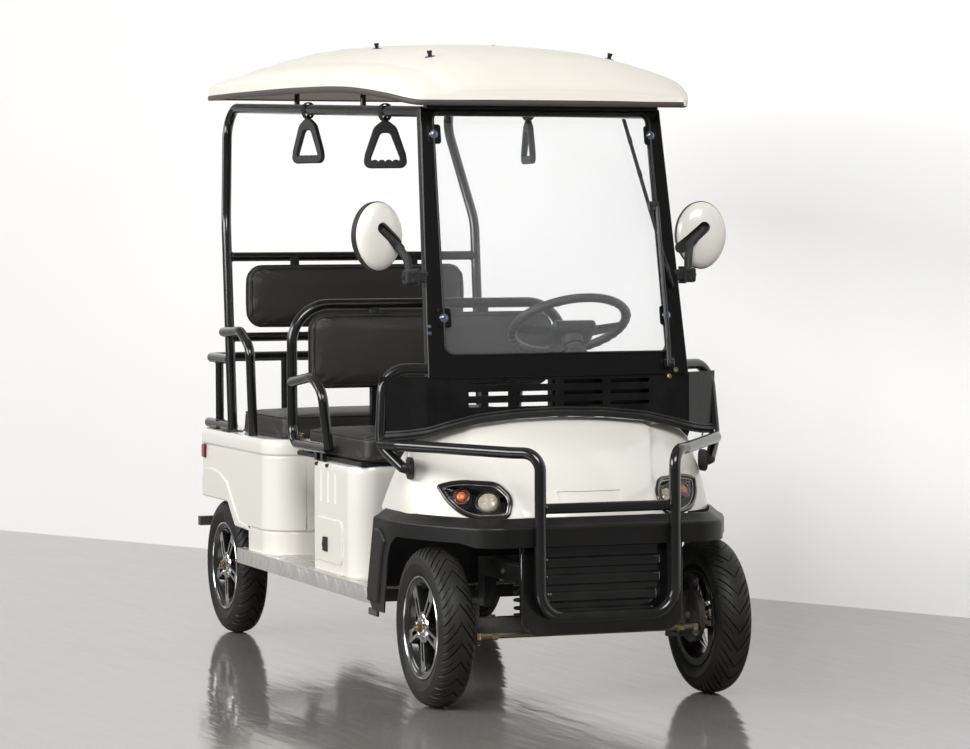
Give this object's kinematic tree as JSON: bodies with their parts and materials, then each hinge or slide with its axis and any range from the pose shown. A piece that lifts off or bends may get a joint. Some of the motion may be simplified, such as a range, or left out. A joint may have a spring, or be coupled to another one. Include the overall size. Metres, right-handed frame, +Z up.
{
  "type": "four-seat electric golf cart",
  "caption": "Open golf cart with front and rear bench seats, canopy roof on bent tubes, windscreen, tube front guard and rear bag rack; wheels roll and steer.",
  "frame": {"origin": "on the ground, midway between the front guard's face and the rear bumper's face, on the middle plane", "axes": "+X forward, +Y the cart's left, +Z up"},
  "size_m": [2.58, 1.1388, 1.886],
  "materials": {
    "tyre": "matt black rubber",
    "rim": "black painted alloy with bright turned lips and spoke faces",
    "chassis_black": "satin black paint",
    "tube_black": "glossy black powder coat",
    "body_white": "glossy warm white moulding",
    "roof_white": "satin warm white moulding",
    "seat_vinyl": "black vinyl with sewn seams",
    "black_plastic": "fine-grained black moulding",
    "gloss_black": "glossy black moulding",
    "glass": "lightly smoked glazing",
    "lamp": "clear lamp lens over a black housing",
    "lamp_red": "red lens",
    "chequer_plate": "raised lozenge aluminium plate",
    "motor": "black paint",
    "battery": "block that stands for the batteries"
  },
  "bodies": {
    "cart_body": {"front_axle": "chassis_black", "chassis_frame": "chassis_black", "rear_axle": "chassis_black", "suspension_springs": "chassis_black", "steering_column": "chassis_black", "rear_bumper": "chassis_black", "drive_motor": "motor", "battery_block": "battery", "front_bumper": "black_plastic", "toe_board": "black_plastic", "hand_straps": "black_plastic", "front_seat_board": "black_plastic", "pedals": "black_plastic", "wiper": "black_plastic", "dash_shield": "gloss_black", "louvre_panel": "gloss_black", "floor_plate": "chequer_plate", "rear_body": "body_white", "front_seat_box": "body_white", "front_cowl": "body_white", "mirrors": "body_white", "headlamps": "lamp", "rear_lamps": "lamp_red", "front_cushion": "seat_vinyl", "rear_cushion": "seat_vinyl", "front_back_pad": "seat_vinyl", "rear_back_pad": "seat_vinyl", "windscreen_glass": "glass", "windscreen_frame": "tube_black", "roof": "roof_white", "roof_frame": "tube_black", "front_seat_frame": "tube_black", "armrests": "tube_black", "rear_rack": "tube_black", "side_loops": "tube_black", "front_guard": "tube_black", "windscreen_posts": "tube_black"},
    "wheel_front_left": {"rim_front_left": "rim", "tyre_front_left": "tyre"},
    "wheel_front_right": {"rim_front_right": "rim", "tyre_front_right": "tyre"},
    "wheel_rear_left": {"rim_rear_left": "rim", "tyre_rear_left": "tyre"},
    "wheel_rear_right": {"rim_rear_right": "rim", "tyre_rear_right": "tyre"},
    "knuckle_left": {"knuckle_left": "chassis_black"},
    "knuckle_right": {"knuckle_right": "chassis_black"},
    "tie_rod": {"tie_rod": "chassis_black"},
    "steering_wheel": {"steering_wheel": "black_plastic"}
  },
  "joints": [
    {"name": "steer_left", "type": "hinge", "parent": "cart_body", "child": "knuckle_left", "pos_m": [1.015, 0.325, 0.22], "axis": [0, 0, 1], "range_deg": [-30, 30]},
    {"name": "steer_right", "type": "hinge", "parent": "cart_body", "child": "knuckle_right", "pos_m": [1.015, -0.325, 0.22], "axis": [0, 0, 1], "range_deg": [-30, 30]},
    {"name": "tie_rod_pivot", "type": "hinge", "parent": "knuckle_left", "child": "tie_rod", "pos_m": [1.125, 0.325, 0.202], "axis": [0, 0, 1], "range_deg": [-30, 30]},
    {"name": "steering_turn", "type": "hinge", "parent": "cart_body", "child": "steering_wheel", "pos_m": [0.445, 0.215, 1.029], "axis": [-0.4848, 0, 0.8746], "range_deg": [-270, 270]},
    {"name": "spin_front_left", "type": "hinge", "parent": "knuckle_left", "child": "wheel_front_left", "pos_m": [1.015, 0.409, 0.22], "axis": [0, 1, 0], "continuous": true},
    {"name": "spin_rear_left", "type": "hinge", "parent": "cart_body", "child": "wheel_rear_left", "pos_m": [-0.945, 0.409, 0.22], "axis": [0, 1, 0], "continuous": true},
    {"name": "spin_front_right", "type": "hinge", "parent": "knuckle_right", "child": "wheel_front_right", "pos_m": [1.015, -0.409, 0.22], "axis": [0, 1, 0], "continuous": true},
    {"name": "spin_rear_right", "type": "hinge", "parent": "cart_body", "child": "wheel_rear_right", "pos_m": [-0.945, -0.409, 0.22], "axis": [0, 1, 0], "continuous": true}
  ],
  "couplings": [
    {"joint": "steer_right", "follows": "steer_left", "ratio": 1},
    {"joint": "tie_rod_pivot", "follows": "steer_left", "ratio": -1},
    {"joint": "steering_turn", "follows": "steer_left", "ratio": 9}
  ]
}
